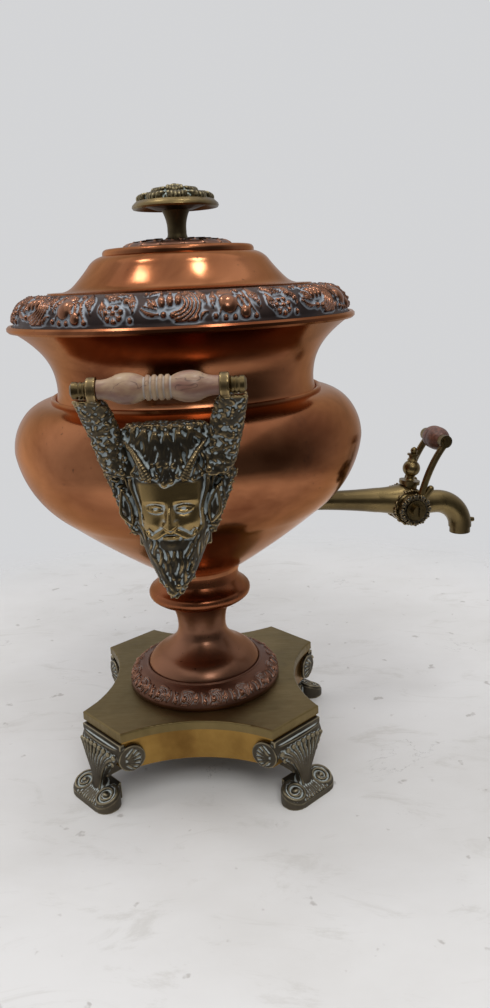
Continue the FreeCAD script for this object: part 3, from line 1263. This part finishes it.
def heater_sleeve():
    """The tube that keeps the water off the iron, with a raised floor over the bolt's head."""
    inner = SLEEVE_RADIUS - SHEET
    return lathe(*polyline((inner, BOWL_FLOOR), (SLEEVE_RADIUS, BOWL_FLOOR), (SLEEVE_RADIUS, SLEEVE_TOP),
                           (inner, SLEEVE_TOP), (inner, BILLET_SEAT), (0, BILLET_SEAT),
                           (0, BILLET_SEAT - SHEET), (inner, BILLET_SEAT - SHEET), (inner, BOWL_FLOOR)))


def sleeve_cap():
    """The lift-off cap of the sleeve, with a lip inside the tube and a small turned knob."""
    lip_outer = SLEEVE_RADIUS - SHEET - LIFT_GAP
    lip_inner = lip_outer - SHEET
    top = SLEEVE_TOP + SHEET
    disc_radius = SLEEVE_RADIUS + CAP_OVERHANG
    knob = [(radius, top + rise) for radius, rise in CAP_KNOB_OUTLINE]
    return lathe(*polyline((0, SLEEVE_TOP), (lip_inner, SLEEVE_TOP), (lip_inner, SLEEVE_TOP - CAP_LIP_DEPTH),
                           (lip_outer, SLEEVE_TOP - CAP_LIP_DEPTH), (lip_outer, SLEEVE_TOP),
                           (disc_radius, SLEEVE_TOP), (disc_radius, top), knob[0]), knob)


def heater_billet():
    """The iron billet with a pierced post for its hook."""
    top = BILLET_SEAT + BILLET_LENGTH
    flat = BILLET_RADIUS - BILLET_EDGE
    block = lathe(*polyline((0, BILLET_SEAT), (flat, BILLET_SEAT), (BILLET_RADIUS, BILLET_SEAT + BILLET_EDGE),
                            (BILLET_RADIUS, top - BILLET_EDGE), (flat, top), (0, top), (0, BILLET_SEAT)))
    eye_top = top + BILLET_EYE_HEIGHT
    block = block.fuse(cylinder(BILLET_EYE_RADIUS, BILLET_EYE_HEIGHT, point(0, 0, top)))
    hole_centre = point(0, -BILLET_EYE_RADIUS, eye_top - BILLET_EYE_HOLE - BILLET_EYE_ROOF)
    return block.cut(cylinder(BILLET_EYE_HOLE, 2 * BILLET_EYE_RADIUS, hole_centre, point(0, 1, 0)))


def main():
    """Build every node."""
    os.makedirs("parts", exist_ok=True)
    save("base_slab", base_slab())
    save("base_skirt", base_skirt())
    foot = foot_casting()
    screws = []
    for quarter, place in enumerate(("front_right", "rear_right", "rear_left", "front_left")):
        angle = 45 + 90 * quarter
        save("foot_" + place, turn(foot, angle))
        screws.append(turn(foot_screw(), angle))
    save("foot_screws", *screws)
    save("pedestal", pedestal())
    save("pedestal_border", pedestal_border())
    save("collar", collar())
    save("tie_bolt", tie_bolt())
    save("tie_washer", tie_washer())
    save("tie_nut", tie_nut())
    save("bowl", bowl())
    save("neck", neck())
    save("rim_band", rim_band())
    save("heater_sleeve", heater_sleeve())
    save("sleeve_cap", sleeve_cap())
    save("heater_billet", heater_billet())
    save("lid_dome", lid_dome())
    save("lid_ring", lid_ring())
    save("lid_rosette", lid_rosette())
    save("knob_stem", knob_stem())
    save("knob_dish", knob_dish())
    save("knob_flower", knob_flower())
    save("knob_washer", knob_washer())
    save("knob_nut", knob_nut())
    handle = {
        "bracket": [bracket()],
        "grip": [handle_grip()],
        "rod": [handle_rod()],
        "rod_caps": [rod_cap(-1), rod_cap(1)],
        "bracket_screws": [bracket_screw(-1), bracket_screw(1)],
        "bracket_washers": [bracket_washer(-1), bracket_washer(1)],
    }
    for piece, solids in handle.items():
        save("left_" + piece, *solids)
        save("right_" + piece, *[turn(solid, 180) for solid in solids])
    save("tap_body", tap_body())
    save("tap_saddle", tap_saddle())
    save("tap_plug", tap_plug())
    save("tap_arm_left", tap_arm(-1))
    save("tap_arm_right", tap_arm(1))
    save("tap_grip", tap_grip())
    save("tap_pin", tap_pin())
    save("plug_washers", plug_washer(-1), plug_washer(1))
    save("plug_screws", plug_screw(-1), plug_screw(1))
    save("tap_finial", tap_finial())


if __name__ == "__main__":
    main()
